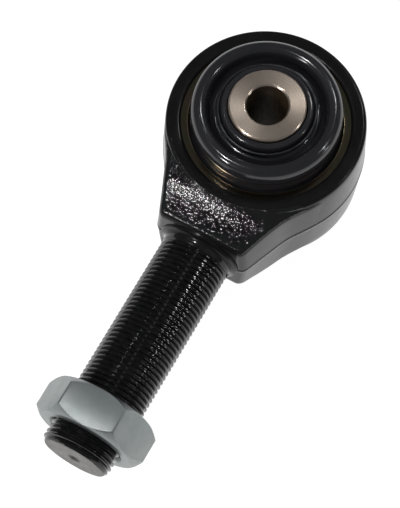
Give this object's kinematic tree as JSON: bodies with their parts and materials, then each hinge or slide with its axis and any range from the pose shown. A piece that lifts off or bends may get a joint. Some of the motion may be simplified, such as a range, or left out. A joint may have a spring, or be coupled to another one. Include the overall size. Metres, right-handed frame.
{
  "type": "rod end bearing",
  "caption": "Booted spherical rod end with a threaded shank, a jam nut, and a ball with stainless spacers that tilts and spins in its forged eye.",
  "frame": {"origin": "centre of the ball, on the axis of the bolt bore", "axes": "+Z along the bolt bore, +Y away from the threaded shank"},
  "size_m": [0.071, 0.1697, 0.0646],
  "materials": {
    "black_forging": "gloss black plating over an as-forged surface",
    "stainless_steel": "fine turned",
    "boot_rubber": "smooth moulded",
    "race_polymer": "machined",
    "spring_steel": "phosphated",
    "yellow_zinc": "yellow passivated zinc",
    "zinc_plate": "clear zinc, satin",
    "chromed_steel": "polished",
    "seal_rubber": "smooth"
  },
  "bodies": {
    "housing": {"rod_end_body": "black_forging", "bearing_sleeve": "stainless_steel", "upper_race": "race_polymer", "lower_race": "race_polymer", "upper_washer": "stainless_steel", "lower_washer": "stainless_steel", "upper_circlip": "spring_steel", "lower_circlip": "spring_steel", "upper_retaining_ring": "yellow_zinc", "lower_retaining_ring": "yellow_zinc", "grease_nipple": "zinc_plate", "nipple_spring": "spring_steel"},
    "boots": {"upper_boot": "boot_rubber", "lower_boot": "boot_rubber"},
    "lip_rings": {"upper_lip_ring": "spring_steel", "lower_lip_ring": "spring_steel"},
    "ball": {"ball": "chromed_steel", "upper_spacer": "stainless_steel", "lower_spacer": "stainless_steel", "upper_o_ring": "seal_rubber", "lower_o_ring": "seal_rubber"},
    "jam_nut": {"jam_nut": "zinc_plate"},
    "check_ball": {"nipple_ball": "spring_steel"}
  },
  "joints": [
    {"name": "tilt_direction", "type": "hinge", "parent": "housing", "child": "boots", "pos_m": [0, 0, 0], "axis": [0, 0, 1], "continuous": true},
    {"name": "ball_tilt", "type": "hinge", "parent": "boots", "child": "lip_rings", "pos_m": [0, 0, 0], "axis": [1, 0, 0], "range_deg": [-22, 22], "deforming": ["upper_boot", "lower_boot"]},
    {"name": "ball_spin", "type": "hinge", "parent": "lip_rings", "child": "ball", "pos_m": [0, 0, 0], "axis": [0, 0, 1], "continuous": true},
    {"name": "jam_nut_travel", "type": "slide", "parent": "housing", "child": "jam_nut", "axis": [0, 1, 0], "range_m": [-0.007, 0.0575]},
    {"name": "check_ball_travel", "type": "slide", "parent": "housing", "child": "check_ball", "axis": [0, -1, 0], "range_m": [0, 0.0008], "stiffness_N_per_m": 200, "springref_m": -0.0005, "deforming": ["nipple_spring"]}
  ]
}
